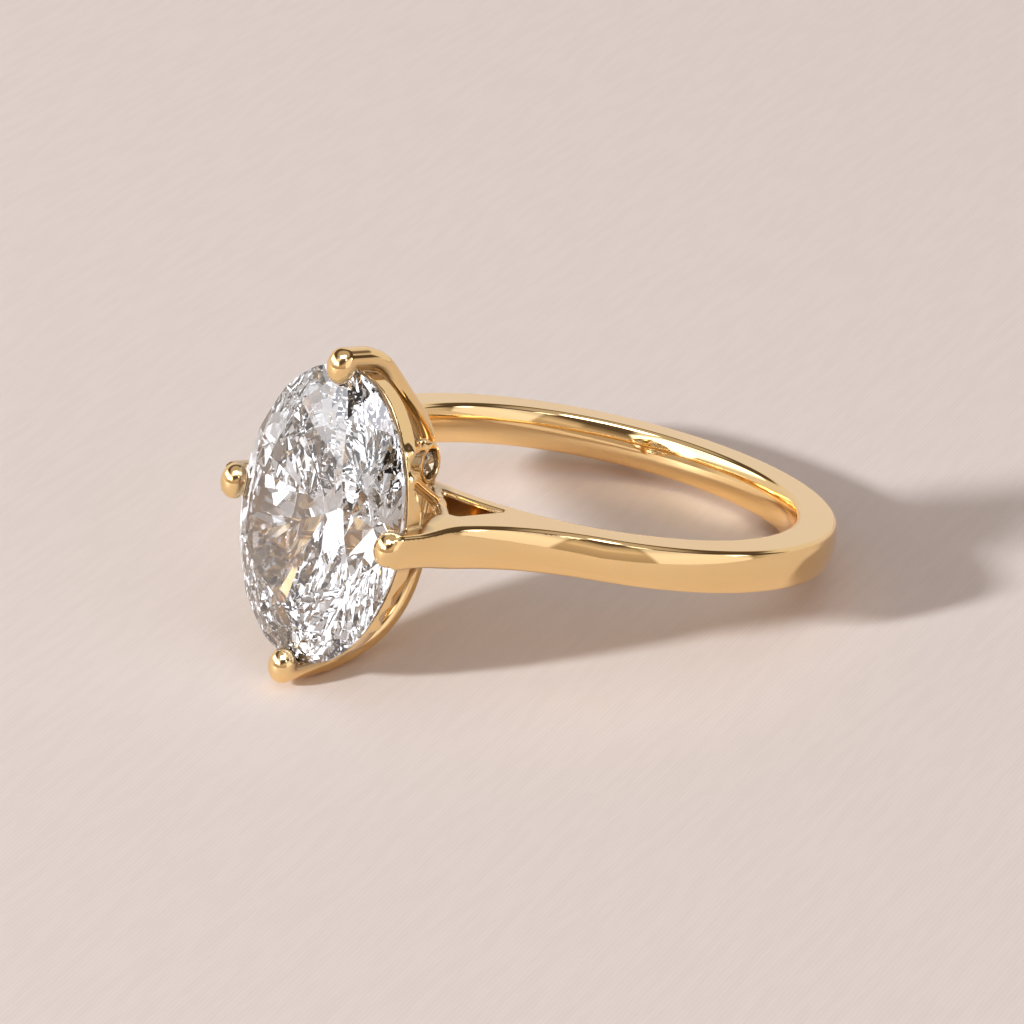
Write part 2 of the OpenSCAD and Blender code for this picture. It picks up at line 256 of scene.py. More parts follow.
# %% The prongs' paths as rows of (run, bend radius, bend angle)
UPPER_PRONG = ((1.0, 2.6, 41.5), (2.6, 4.4, 43.5), (1.3, 0, 0))
LOWER_PRONG = ((1.75, 8, 18), (0, 3.9, 60), (2.4, 0, 0))
upper_tip = (7.05, 6.5, 0)
lower_tip = (7.0, 6.58, 7)
tip_l = 0.45
tip_round = 0.5
for name, path in (("upper", UPPER_PRONG), ("lower", LOWER_PRONG)):
    length = sum(run + radius * math.radians(angle) for run, radius, angle in path)
    print(name, "prong's outer face is", round(length, 2), "mm long")

# %% A bar that follows a path


def long_prong(rise, y, out, tip, path):
    """A bar of section prong_t by prong_w: hypot of what lies beyond its rounded square section."""
    place = np.array(tip[:2], float)
    slope = math.radians(tip[2])
    start, lead = place.copy(), slope
    nearest = np.full(rise.shape, np.inf)
    across = np.zeros(rise.shape)
    for run, radius, angle in path:
        step = -np.array([math.cos(slope), math.sin(slope)])
        side = np.array([-math.sin(slope), math.cos(slope)])
        if run > 0:
            forward = (rise - place[0]) * step[0] + (out - place[1]) * step[1]
            u = (rise - place[0]) * side[0] + (out - place[1]) * side[1]
            off = np.maximum(np.abs(forward - run / 2) - run / 2, 0)
            gap = np.hypot(off, u + prong_t / 2)
            across = np.where(gap < nearest, u, across)
            nearest = np.minimum(gap, nearest)
            place = place + run * step
        if radius > 0:
            centre = place - radius * side
            bend = math.radians(angle)
            at = np.arctan2(out - centre[1], rise - centre[0]) - math.atan2(side[1], side[0])
            at = (at + math.pi) % (2 * math.pi) - math.pi
            u = np.hypot(rise - centre[0], out - centre[1]) - radius
            off = (radius - prong_t / 2) * np.maximum(np.abs(at - bend / 2) - bend / 2, 0)
            gap = np.hypot(off, u + prong_t / 2)
            across = np.where(gap < nearest, u, across)
            nearest = np.minimum(gap, nearest)
            slope += bend
            place = centre + radius * np.array([-math.sin(slope), math.cos(slope)])
    qa = np.abs(across + prong_t / 2) - prong_t / 2 + prong_round
    qb = np.abs(y) - prong_w / 2 + prong_round
    outside = np.hypot(np.maximum(qa, 0), np.maximum(qb, 0))
    section = outside + np.minimum(np.maximum(qa, qb), 0) - prong_round
    last = (rise - place[0]) * -math.cos(slope) + (out - place[1]) * -math.sin(slope)
    ahead = (rise - start[0]) * math.cos(lead) + (out - start[1]) * math.sin(lead) - tip_l
    return np.maximum(trimmed(section, ahead, tip_round), last)


# %% [markdown]
# ## Rail, struts and collets
#
# An oval rail under the stone's edge ties the four prongs together. Its lower
# edge is scooped into four arches, and thin struts drop from the arches to the
# side prongs and to the two collets, the short tubes that hold the small
# stones. The oval is four arcs that join smoothly, so the distance from it is
# the distance from the nearer arc's circle.

# %% The gallery's sizes
RAIL = ((0.04, 6.25), (0.14, 5.48), (0.5, 5.94), (0.1, 6.28))
rail_low = 5.4
rail_in = 0.56
rail_round = 0.1
arch_r = 1.65
arch_top = 5.98
arch_at = (3.5, 2.65)
arch_round = 0.07
end_arc_part = 1.08
strut_r = 0.22
PRONG_STRUT = ((5.82, 3.38, 2.4), (2.3, 1.8, 0.75))
COLLET_STRUT = ((5.82, 3.02, 3.35), (2.2, 0.4, 2.4))
for name, (high, low) in (("prong", PRONG_STRUT), ("collet", COLLET_STRUT)):
    print(name, "strut is", round(math.dist(high, low), 2), "mm long")

# %% The oval's edge and the scooped rail


def oval_edge(y, z, a, b):
    """Distance outside an oval of four arcs: the end arcs have radius 1.08 b b / a."""
    y, z = np.abs(y), np.abs(z)
    end_r = end_arc_part * b * b / a
    end_c = a - end_r
    side_r = (end_c ** 2 + b * b - end_r ** 2) / (2 * (b - end_r))
    side_c = side_r - b
    at_end = z * side_c > (y + side_c) * end_c
    return np.where(at_end, np.hypot(y, z - end_c) - end_r, np.hypot(y + side_c, z) - side_r)


def beyond_line(p, q, start, end):
    """Distance of the point (p, q) to the right of the line from start to end."""
    run = np.array(end) - np.array(start)
    run = run / np.hypot(*run)
    return (p - start[0]) * run[1] - (q - start[1]) * run[0]


def rail(rise, y, z):
    """A sloped band under the oval's edge, with an arch scooped out of each quarter."""
    depth = -oval_edge(y, z, stone_l / 2, stone_w / 2)
    face = beyond_line(depth, rise, RAIL[1], RAIL[0]) * -1
    roof = beyond_line(depth, rise, RAIL[3], RAIL[2]) * -1
    low_inside = trimmed(rail_low - rise, depth - rail_in, rail_round)
    section = trimmed(trimmed(face, roof, rail_round), low_inside, rail_round)
    normal = np.array([arch_at[0] / stone_w ** 2, arch_at[1] / stone_l ** 2])
    normal = normal / np.hypot(*normal)
    aside = (np.abs(z) - arch_at[1]) * normal[0] - (np.abs(y) - arch_at[0]) * normal[1]
    arch = arch_r - np.hypot(rise - arch_top + arch_r, aside)
    return trimmed(section, arch, arch_round)


print("the oval's end lies on its own edge:",
      round(float(oval_edge(0, stone_l / 2, stone_l / 2, stone_w / 2)), 6), "mm off")

# %% Struts and collets
collet_rise = 1.88
collet_z = 1.78
collet_d = 1.54
collet_l = 1.3
collet_hole = 0.82
collet_turn = math.radians(14)
collet_tip = math.radians(8)
small_d = 1.1
seat_depth = 0.5
collet_axis = np.array([
    math.cos(collet_tip) * math.sin(collet_turn),
    -math.cos(collet_tip) * math.cos(collet_turn),
    math.sin(collet_tip),
])


def strut(rise, y, z, ends, r):
    """A round rod between two points: the distance to the middle line, less its radius."""
    (ra, ya, za), (rb, yb, zb) = ends
    run = np.array([rb - ra, yb - ya, zb - za])
    t = (rise - ra) * run[0] + (np.abs(y) - ya) * run[1] + (np.abs(z) - za) * run[2]
    t = np.clip(t / run.dot(run), 0, 1)
    dr = rise - ra - t * run[0]
    dy = np.abs(y) - ya - t * run[1]
    dz = np.abs(z) - za - t * run[2]
    return np.sqrt(dr * dr + dy * dy + dz * dz) - r


def collet_places(x, y, z):
    """Height h = p . axis along the nearer collet, and distance sqrt(p . p - h h) from its axis."""
    px, py, pz = x + finger_r + collet_rise, y, np.abs(z) - collet_z
    h = px * collet_axis[0] + py * collet_axis[1] + pz * collet_axis[2]
    return h, np.sqrt(np.maximum(px * px + py * py + pz * pz - h * h, 0))


print("collet wall", round((collet_d - small_d) / 2 - clear, 2), "mm round a stone of", small_d)

# %% [markdown]
# ## The room of the stone, and the prongs' balls
#
# A setter cuts the gold until the stone drops in, so the stone's room is a
# shape of its own: a cone below the edge, a cut-off cone above it and the
# oval between. The ball that a setter raises on each prong's tip is drawn
# long along Z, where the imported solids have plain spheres. An ellipsoid has no
# simple exact distance. The usual close one divides by the slope of its size.

# %% Shapes at the top of the ring
side_ball = (7.14, 4.08)
upper_ball = (7.06, 5.79)
lower_ball = (7.08, 5.94)
pavilion_slope = 0.75
crown_slope = 0.8


def stone_room(x, y, z):
    """Depth inside the oval stone's room: the least of the ways out through its faces."""
    rise = -x - finger_r
    part = np.hypot(y / (stone_w / 2), z / (stone_l / 2))
    under = rise - (girdle_rise - girdle_t / 2 - pavilion_h * (1 - part) - clear)
    crown = crown_h * (1 - part) / (1 - table_part)
    above = (girdle_rise + girdle_t / 2 + crown + clear) - rise
    within = clear - oval_edge(y, z, stone_l / 2, stone_w / 2)
    return np.minimum(np.minimum(pavilion_slope * under, crown_slope * above), within)


def tip_ball(rise, y, z, centre):
    """Distance from a ball drawn long along Z: k (k - 1) / g for scaled length k and slope g."""
    p = np.stack([rise - centre[0], y - centre[1], z - centre[2]])
    size = np.array([ball_wide, ball_wide, ball_long]).reshape([3] + [1] * np.ndim(rise))
    k = np.maximum(np.sqrt(((p / size) ** 2).sum(axis=0)), 1e-6)
    return k * (k - 1) / np.sqrt(((p / size ** 2) ** 2).sum(axis=0) + 1e-12)


print("ball tips:", 2 * ball_wide, "mm across,", 2 * ball_long, "mm along Z")

# %% [markdown]
# ## All the gold as one field
#
# The parts are joined in the order a jeweller solders them, each with its own
# small fillet. Last of all the stone's room is cut out with a hair's
# clearance, so that the gold nests round the stone and never runs through it.

# %% The whole ring's distance
prong_fillet = 0.15
rail_fillet = 0.1
strut_fillet = 0.28
collet_fillet = 0.1
collet_round = 0.06
ball_fillet = 0.05
cut_round = 0.03


def gold(x, y, z):
    """Distance from the surface of all the soldered gold at upright points in millimetres."""
    rise = -x - finger_r
    metal = flat_part(x, y, z)
    upper = long_prong(rise, y, z, upper_tip, UPPER_PRONG)
    lower = long_prong(rise, y, -z, lower_tip, LOWER_PRONG)
    metal = joined(metal, np.minimum(upper, lower), prong_fillet)
    metal = joined(metal, rail(rise, y, z), rail_fillet)
    for ends in (PRONG_STRUT, COLLET_STRUT):
        metal = joined(metal, strut(rise, y, z, ends, strut_r), strut_fillet)
    h, off = collet_places(x, y, z)
    collet = trimmed(off - collet_d / 2, np.abs(h) - collet_l / 2, collet_round)
    metal = joined(metal, collet, collet_fillet)
    tube = np.maximum(off - collet_hole / 2, np.abs(h) - collet_l)
    seat = np.maximum(off - small_d / 2 - clear, np.abs(h - collet_l / 2) - seat_depth)
    metal = trimmed(metal, -np.minimum(tube, seat), cut_round)
    for side, centre in (
        (y, (upper_ball[0], 0, upper_ball[1])),
        (y, (lower_ball[0], 0, -lower_ball[1])),
        (np.abs(y), (side_ball[0], side_ball[1], 0)),
    ):
        metal = joined(metal, tip_ball(rise, side, z, centre), ball_fillet)
    return trimmed(metal, stone_room(x, y, z), cut_round)


print("the finger hole's middle lies", round(float(gold(*np.zeros((3, 1)))[0]), 2), "mm from gold")

# %% [markdown]
# ## From field to mesh
#
# A grid of samples finds the surface: wherever the field changes sign between
# the corners of a cell, that cell gets one vertex, and each grid edge that
# crosses the surface gets a quad between its four cells. The grid here is
# polar, with its angle round the finger, so a few long cells are enough along
# the band's plain back while the head is cut fine.

# %% A polar grid that is fine where the detail is
cell = 0.084
head_reach = 15.9
grid_reach = 16.8
grid_half = 6.8
wall_cells = 2.5


def steps(stops, sizes):
    """Places from the first stop to the last, each step the size interpolated at its place."""
    places = [stops[0]]
    while places[-1] < stops[-1]:
        places.append(places[-1] + float(np.interp(places[-1], stops, sizes)))
    return np.array(places)


def upright(a, r, z):
    """A polar place as x, y, z, with angle 0 towards the head: x = -r cos a and y = r sin a."""
    return -r * np.cos(a), r * np.sin(a), z


fine = math.degrees(cell / head_reach)
turn_stops = [0, 19, 27, 46, 60, 180]
turn_steps = [fine, fine, 1.5 * fine, 2.2 * fine, 1.5, 1.5]
half_turn = steps(turn_stops, turn_steps)
half_turn = half_turn * 180 / half_turn[-1]
grid_a = np.radians(np.concatenate([half_turn, 360 - half_turn[-2:0:-1]]))
grid_r = np.arange(finger_r - wall_cells * cell, grid_reach, cell)
grid_z = np.arange(-grid_half, grid_half + cell, cell)
print("grid:", len(grid_a), "angles,", len(grid_r), "radii,", len(grid_z), "heights")

# %% Sample the field near the surface only
coarse_step = 4
near_margin = 1.3


def sample(grid):
    """The field on the whole grid: first on every fourth node, then on all near the surface."""
    coarse = [g[::coarse_step] for g in grid]
    a, r, z = np.meshgrid(*coarse, indexing="ij")
    rough = gold(*upright(a, r, z))
    spans = np.gradient(coarse[0])[:, None, None] * r
    reach = near_margin * np.sqrt(spans ** 2 + 2 * (coarse_step * cell) ** 2)
    nearest = [
        np.minimum((np.arange(len(g)) + coarse_step // 2) // coarse_step, len(c) - 1)
        for g, c in zip(grid, coarse)
    ]
    index = tuple(np.meshgrid(*nearest, indexing="ij"))
    near = (np.abs(rough) < reach)[index]
    field = np.sign(rough[index])
    a, r, z = np.meshgrid(*grid, indexing="ij")
    field[near] = gold(*upright(a[near], r[near], z[near]))
    print("sampled", int(near.sum()), "of", near.size, "nodes")
    return field


field = sample((grid_a, grid_r, grid_z))

# %% [markdown]
# ## Sheets that touch
#
# Where two bits of skin come closer than a cell, the four nodes of a grid face
# can be gold at one pair of opposite corners and air at the other. The two
# sheets would then share one mesh edge, and no longer be a closed solid for
# printing. Filling the shallower of the two air nodes with a trace of gold
# joins the sheets cleanly, by less than anyone can see.

# %% Fill the nodes that pinch
fill_depth = 0.001
EVEN_CORNERS = ((0, 0), (1, 1))
ODD_CORNERS = ((1, 0), (0, 1))


def unpinched(field, rounds=6):
    """Fill the shallower outside node of each grid face whose two diagonals lie apart in sign."""
    filled = 0
    for u, v in ((0, 1), (1, 2), (0, 2)) * rounds:
        outside = {
            step: np.roll(field, (-step[0], -step[1]), (u, v)) >= 0
            for step in EVEN_CORNERS + ODD_CORNERS
        }
        for pair, other in ((EVEN_CORNERS, ODD_CORNERS), (ODD_CORNERS, EVEN_CORNERS)):
            air = outside[pair[0]] & outside[pair[1]]
            metal = ~outside[other[0]] & ~outside[other[1]]
            sites = np.argwhere(air & metal)
            ends = []
            for step in pair:
                end = sites.copy()
                end[:, u] += step[0]
                end[:, v] += step[1]
                end[:, 0] %= field.shape[0]
                ends.append(end)
            depth = [field[tuple(end.T)] for end in ends]
            shallow = np.where((depth[0] <= depth[1])[:, None], ends[0], ends[1])
            field[tuple(shallow.T)] = -fill_depth
            filled += len(shallow)
    print("filled", filled, "nodes where two sheets would touch")
    return field


field = unpinched(field)

# %% One vertex per crossed cell


def cell_vertices(wrapped, grid):
    """Polar places, the mean of each cell's edge crossings at t = low / (low - high)."""
    nodes = (np.append(grid[0], grid[0][0] + 2 * math.pi), grid[1], grid[2])
    shape = tuple(n - 1 for n in wrapped.shape)
    total = np.zeros(shape + (3,))
    count = np.zeros(shape)
    for axis in range(3):
        u, v = [k for k in range(3) if k != axis]
        low = np.take(wrapped, range(shape[axis]), axis)
        high = np.take(wrapped, range(1, shape[axis] + 1), axis)
        crossed = (low < 0) != (high < 0)
        with np.errstate(divide="ignore", invalid="ignore"):
            t = np.where(crossed, low / (low - high), 0)
        for du, dv in ((0, 0), (0, 1), (1, 0), (1, 1)):
            pick = [slice(0, shape[axis])] * 3
            pick[u] = slice(du, du + shape[u])
            pick[v] = slice(dv, dv + shape[v])
            hit = crossed[tuple(pick)]
            count += hit
            starts = [g[:-1] for g in nodes]
            starts[u] = nodes[u][du:du + shape[u]]
            starts[v] = nodes[v][dv:dv + shape[v]]
            for k in range(3):
                view = [None] * 3
                view[k] = slice(None)
                value = starts[k][tuple(view)] + np.zeros(shape)
                if k == axis:
                    value = value + t[tuple(pick)] * np.diff(nodes[k])[tuple(view)]
                total[..., k] += np.where(hit, value, 0)
    used = count > 0
    number = np.full(shape, -1)
    number[used] = np.arange(int(used.sum()))
    return total[used] / count[used][:, None], number


wrapped = np.concatenate([field, field[:1]])
places, number = cell_vertices(wrapped, (grid_a, grid_r, grid_z))
points = np.stack(upright(places[:, 0], places[:, 1], places[:, 2]), axis=1)
print("gold skin:", len(points), "vertices")

# %% One quad per crossed edge


def crossing_quads(inside, number):
    """The vertices of the four cells round each grid edge that crosses the surface."""
    shape = number.shape
    quads = []
    for axis, (u, v) in enumerate(((1, 2), (2, 0), (0, 1))):
        low = np.take(inside, range(shape[axis]), axis)
        high = np.take(inside, range(1, shape[axis] + 1), axis)
        for turned, hit in ((False, low & ~high), (True, ~low & high)):
            sites = np.argwhere(hit)
            for k in (u, v):
                sites = sites[sites[:, k] < shape[k]]
                if k != 0:
                    sites = sites[sites[:, k] > 0]
            round_edge = []
            for du, dv in ((1, 1), (0, 1), (0, 0), (1, 0)):
                c = sites.copy()
                c[:, u] -= du
                c[:, v] -= dv
                c[:, 0] %= shape[0]
                round_edge.append(number[c[:, 0], c[:, 1], c[:, 2]])
            quad = np.stack(round_edge, axis=1)
            quads.append(quad[:, ::-1] if turned else quad)
    return np.concatenate(quads)


quads = crossing_quads(wrapped < 0, number)
print("gold skin:", 2 * len(quads), "triangles")

# %% [markdown]
# ## Onto the surface, and evenly spread
#
# The vertices so far lie near the surface, and flat faces would look dented.
# Each is slid along the field's slope until its distance is zero, as Newton
# would do, which makes flat faces truly flat and rounds truly round. On a few
# of the first turns every vertex also moves towards the middle of its
# neighbours, because even quads mirror the studio without ripples.

# %% The field's slope and a vertex's neighbours
probe = 0.002


def gradient_at(points):
    """The field's slope by central differences: (gold(p + probe) - gold(p - probe)) / 2 probe."""
    out = np.empty_like(points)
    for k in range(3):
        step = np.zeros(3)
        step[k] = probe
        ahead = gold(*(points + step).T)
        behind = gold(*(points - step).T)
        out[:, k] = (ahead - behind) / (2 * probe)
    return out


def neighbours_middle(points, pairs):
    """The mean place of the vertices that share a mesh edge with each vertex."""
    total = np.zeros_like(points)
    count = np.zeros(len(points))
    for a, b in ((pairs[:, 0], pairs[:, 1]), (pairs[:, 1], pairs[:, 0])):
        for k in range(3):
            total[:, k] += np.bincount(a, points[b, k], len(points))
        count += np.bincount(a, minlength=len(points))
    return total / count[:, None]


# %% Slide every vertex onto the surface
slide_turns = 7
even_turns = (1, 2, 3)
even_part = 0.6
least_slope = 0.2
longest_move = 0.5 * cell
pairs = np.concatenate([quads[:, [k, (k + 1) % 4]] for k in range(4)])
for slide in range(slide_turns):
    if slide in even_turns:
        points = points + even_part * (neighbours_middle(points, pairs) - points)
    gradient = gradient_at(points)
    squared = np.maximum((gradient ** 2).sum(axis=1), least_slope)
    move = gold(*points.T)[:, None] * gradient / squared[:, None]
    length = np.linalg.norm(move, axis=1)[:, None]
    points = points - move * np.minimum(1, longest_move / np.maximum(length, 1e-9))
normals = gradient_at(points)
normals = normals / np.maximum(np.linalg.norm(normals, axis=1), 1e-6)[:, None]
print("largest distance left, mm:", float(np.abs(gold(*points.T)).max().round(4)))

# %% [markdown]
# ## Painted shade in the recesses
#
# Between a collet and a strut the gold mirrors the ring's own dark inside, so
# it looks dark there. That shade is painted in: the gold is made browner there,
# and a little rougher, as a wheel can't reach it. A point is in the open if a
# step straight out from the skin still lies far from all gold and from the
# stone. That share, from 0 to 1, is kept on every vertex and steers the painted
# shade later.

# %% Find the recesses
recess_reach = 0.9
stone_gap = 0.2
recess_limit = 0.7
lifted = (points + recess_reach * normals).T
room_left = np.minimum(gold(*lifted), stone_gap - stone_room(*lifted))
openness = np.clip(room_left / recess_reach, 0, 1)
in_recess = float((openness < recess_limit).mean().round(3))
print("share of the skin that lies in a recess:", in_recess)

# %% [markdown]
# ## A piece from arrays
#
# Whole arrays go into the mesh in one call each, which is far quicker than
# adding vertices one by one. The field's own slope gives the normals, so the
# shading is as smooth as the shape. The piece then rides on the ring, and the
# imported solid in its place is hidden.

# %% Put the gold into a mesh


def new_piece(name, points, faces, cad_node, smooth_normals=None):
    """A mesh object at the origin from upright millimetre points, in place of a CAD node."""
    mesh = bpy.data.meshes.new(name)
    mesh.vertices.add(len(points))
    mesh.vertices.foreach_set("co", (leaned(points) * MM).astype(np.float32).ravel())
    mesh.loops.add(faces.size)
    mesh.loops.foreach_set("vertex_index", faces.ravel().astype(np.int32))
    mesh.polygons.add(len(faces))
    starts = np.arange(0, faces.size, faces.shape[1], dtype=np.int32)
    mesh.polygons.foreach_set("loop_start", starts)
    mesh.update(calc_edges=True)
    mesh.validate()
    if smooth_normals is not None:
        mesh.shade_smooth()
        mesh.normals_split_custom_set_from_vertices(leaned(smooth_normals).tolist())
    else:
        mesh.shade_flat()
    piece = bpy.data.objects.new(name, mesh)
    bpy.context.scene.collection.objects.link(piece)
    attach(piece, "root")
    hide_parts(cad_node)
    return piece


gold_piece = new_piece("soldered_gold", points, quads, "gold_ring", normals)
attribute = gold_piece.data.attributes.new("openness", "FLOAT", "POINT")
attribute.data.foreach_set("value", openness.astype(np.float32))
print(gold_piece.name, "has", len(gold_piece.data.polygons), "faces")

# %% [markdown]
# ## The oval stone
#
# An oval brilliant has a flat table, a crown of stars, kites and half facets,
# and a pavilion below its edge. This one is cut with extra pavilion facets,
# which break its light into the fine splinters that dealers call crushed ice.
# Its pavilion is 3.42 mm deep, 0.08 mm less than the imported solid's. Every
# facet is flat, so the mesh is plain triangles between rings of corners.

# %% Rings of corners on an oval
star_part = 0.5
pavilion_low = 3.42
inner_ring = 0.23
half_ring = 0.68
half_bulge = 0.03
outline_parts = 4
outline_n = 16 * outline_parts


def stone_rings():
    """Rings of corners (stone_l / 2 part cos, stone_w / 2 part sin, height), from table to tip."""
    eighth = math.radians(45)
    half = eighth / 2
    chord = math.cos(half / 2)
    star_at = table_part * math.cos(half) + star_part * (1 - table_part * math.cos(half))
    star_top = crown_h * (1 - (star_at * math.cos(half) - table_part) / (1 - table_part))
    crown_fall = star_top / (chord - star_at * math.cos(half / 2))
    inner_depth = pavilion_low * (1 - inner_ring * math.cos(half))
    half_run = (chord - half_ring) / (chord - inner_ring * math.cos(half / 2))
    half_depth = inner_depth * half_run + half_bulge
    half_fall = half_depth / (chord - half_ring)
    spin = np.arange(outline_n) * 2 * math.pi / outline_n
    beyond = np.cos(spin % half - half / 2) - chord
    k = np.arange(8)
    c = np.arange(16)
    rows = [
        (table_part, k * eighth, girdle_t / 2 + crown_h),
        (star_at, k * eighth + half, girdle_t / 2 + star_top),
        (1, spin, girdle_t / 2 - crown_fall * beyond),
        (1, spin, -girdle_t / 2 + half_fall * beyond),
        (half_ring, (c + 0.5) * half, -girdle_t / 2 - half_depth),
        (inner_ring, k * eighth + half, -girdle_t / 2 - inner_depth),
        (0, np.zeros(1), -girdle_t / 2 - pavilion_low),
    ]
    return [
        np.stack([
            part * stone_l / 2 * np.cos(angle),
            part * stone_w / 2 * np.sin(angle),
            height + np.zeros(len(angle)),
        ], axis=1)
        for part, angle, height in rows
    ]


rings = stone_rings()
print("corners in each ring:", [len(ring) for ring in rings])

# %% Facets between the rings


def stone_facets(rings):
    """Triangles that join each ring's corners to the next ring's, numbered from the table down."""
    first = np.cumsum([0] + [len(ring) for ring in rings])
    table, star, upper, under, halves, inner, tip = first[:-1]

    def edge(start, corner, i):
        """Outline point i after one of the 16 girdle corners."""
        return start + (corner * outline_parts + i) % outline_n

    faces = [(table, table + i, table + i + 1) for i in range(1, 7)]
    for i in range(8):
        after = (i + 1) % 8
        faces.append((table + i, table + after, star + i))
        faces.append((table + i, star + i, edge(upper, 2 * i, 0)))
        faces.append((table + after, star + i, edge(upper, 2 * i + 2, 0)))
        faces.append((tip, inner + i, inner + after))
        faces.append((inner + i, inner + after, edge(under, 2 * i + 2, 0)))
        for corner in (2 * i, 2 * i + 1):
            faces.append((inner + i, halves + corner, edge(under, corner, 0)))
            faces.append((inner + i, halves + corner, edge(under, corner + 1, 0)))
            for j in range(outline_parts):
                faces.append((star + i, edge(upper, corner, j), edge(upper, corner, j + 1)))
                faces.append((halves + corner, edge(under, corner, j), edge(under, corner, j + 1)))
    for i in range(outline_n):
        after = (i + 1) % outline_n
        faces.append((upper + i, upper + after, under + after))
        faces.append((upper + i, under + after, under + i))
    return np.array(faces)


def facing_out(corners, faces):
    """The triangles, each turned so that its normal points away from the middle."""
    a, b, c = (corners[faces[:, i]] for i in range(3))
    inward = (np.cross(b - a, c - a) * (a + b + c)).sum(axis=1) < 0
    faces = faces.copy()
    faces[inward] = faces[inward][:, ::-1]
    return faces


stone_corners = np.concatenate(rings)
facets = facing_out(stone_corners, stone_facets(rings))
stone_points = np.stack([
    -finger_r - girdle_rise - stone_corners[:, 2],
    stone_corners[:, 1],
    stone_corners[:, 0],
], axis=1)
stone_piece = new_piece("oval_brilliant", stone_points, facets, "oval_stone")
print("oval stone:", len(facets), "triangles")

# %% [markdown]
# ## Helpers for materials
#
# A material is a small circuit of nodes. These helpers add a node, set or wire
# its inputs and hand back its output, so that a finish below reads like a
# recipe. A number that is the same all over goes straight onto the socket.

# %% Add and wire nodes


def new_material(name):
    """A node material and its main shader, ready for settings."""
    material = bpy.data.materials.new(name)
    material.use_nodes = True
    return material, material.node_tree, material.node_tree.nodes["Principled BSDF"]


def node(kind, **settings):
    """A new shader node in the current tree with its settings."""
    made = tree.nodes.new(kind)
    for name, value in settings.items():
        setattr(made, name, value)
    return made


def wired(made, name, value):
    """Set an input to a number or a colour, or link a socket to it."""
    socket = made.inputs[name]
    if isinstance(value, (int, float)):
        socket.default_value = value
    elif isinstance(value, tuple):
        socket.default_value = (*value, 1) if len(socket.default_value) == 4 else value
    else:
        tree.links.new(value, socket)


def spread(value, low, high, to_low, to_high):
    """The value's range from low to high, eased onto another range."""
    made = node("ShaderNodeMapRange", interpolation_type="SMOOTHSTEP")
    names = ("Value", "From Min", "From Max", "To Min", "To Max")
    for name, number in zip(names, (value, low, high, to_low, to_high)):
        wired(made, name, number)
    return made.outputs[0]


def mixed(kind, factor, a, b):
    """A colour Mix node of the given kind."""
    made = node("ShaderNodeMix", data_type="RGBA", blend_type=kind)
    wired(made, "Factor", factor)
    wired(made, 6, a)
    wired(made, 7, b)
    return made.outputs[2]


def computed(kind, *values):
    """A Math node of the given kind on one or two values or sockets."""
    made = node("ShaderNodeMath", operation=kind)
    for k, value in enumerate(values):
        wired(made, k, value)
    return made.outputs[0]


def noise(place, scale, detail):
    """Noise on the given coordinates, with scale in waves a metre."""
    made = node("ShaderNodeTexNoise")
    wired(made, "Vector", place)
    wired(made, "Scale", scale)
    wired(made, "Detail", detail)
    return made.outputs["Fac"]


def bumped(height, distance):
    """A bump of the given height in metres, wired into the shader."""
    made = node("ShaderNodeBump")
    wired(made, "Height", height)
    wired(made, "Distance", distance)
    tree.links.new(made.outputs["Normal"], shader.inputs["Normal"])


# %% [markdown]
# ## Gold
#
# Polished gold is a mirror with a warm tint. A perfect mirror looks like
# computer graphics, so the wheel's fine marks vary its roughness a little, a
# faint swell bends its reflections, and the alloy's colour drifts slowly. In
# the recesses the openness kept on the skin paints shade: it turns the gold
# browner, and also rougher.

# %% The gold material
yellow_gold = (0.96, 0.695, 0.345)
red_gold = (0.96, 0.67, 0.32)
# Painted shade: the brown colour that the gold takes in its recesses.
recess_painted_shade = (0.60, 0.44, 0.25)
alloy_waves = 160
wheel_waves = 1100
swell_waves = 420
swell_height = 0.000006
smooth_polish = 0.035
rough_polish = 0.08
recess_dull = 0.14
gold_material, tree, shader = new_material("polished_gold")
shader.inputs["Metallic"].default_value = 1
here = node("ShaderNodeTexCoord").outputs["Object"]
kept_openness = node("ShaderNodeAttribute", attribute_name="openness").outputs["Fac"]
in_open = spread(kept_openness, 0.35, 0.9, 0, 1)
alloy = mixed("MIX", spread(noise(here, alloy_waves, 2), 0.35, 0.65, 0, 1), red_gold, yellow_gold)
# Painted shade: the base colour turns brown where the skin lies in a recess.
wired(shader, "Base Color", mixed("MIX", in_open, recess_painted_shade, alloy))
polish = spread(noise(here, wheel_waves, 4), 0.3, 0.7, smooth_polish, rough_polish)
wired(shader, "Roughness", computed("ADD", polish, spread(in_open, 0, 1, recess_dull, 0)))
bumped(noise(here, swell_waves, 1), swell_height)
gold_piece.data.materials.append(gold_material)
print("gold's roughness in the open:", smooth_polish, "to", rough_polish)

# %% [markdown]
# ## Diamond
#
# A brilliant's light comes from bending and total reflection inside it, so
# the facets stay flat and the shader is clear glass of diamond's index. The
# two small stones keep their solids. Deep in their collets they see mostly
# gold, and a warm tint paints that gold reflection into their colour.

# %% The diamond material
diamond_index = 2.42


def clear_stone(name, colour):
    """Clear stone of diamond's index with the given tint."""
    material, _, glass = new_material(name)
    glass.inputs["Base Color"].default_value = colour
    glass.inputs["Roughness"].default_value = 0
    glass.inputs["IOR"].default_value = diamond_index
    glass.inputs["Transmission Weight"].default_value = 1
    return material


stone_piece.data.materials.append(clear_stone("diamond", (1, 1, 1, 1)))
# Painted reflection: the small stones' warm tint stands in for the gold they mirror.
gold_reflection_painted_diamond = clear_stone("small_diamond", (0.93, 0.80, 0.62, 1))
for name in ("small_stone_upper", "small_stone_lower"):
    for material_slot in frame["nodes"][name].material_slots:
        material_slot.material = gold_reflection_painted_diamond
    print(name, "is now", frame["nodes"][name].material_slots[0].material.name)

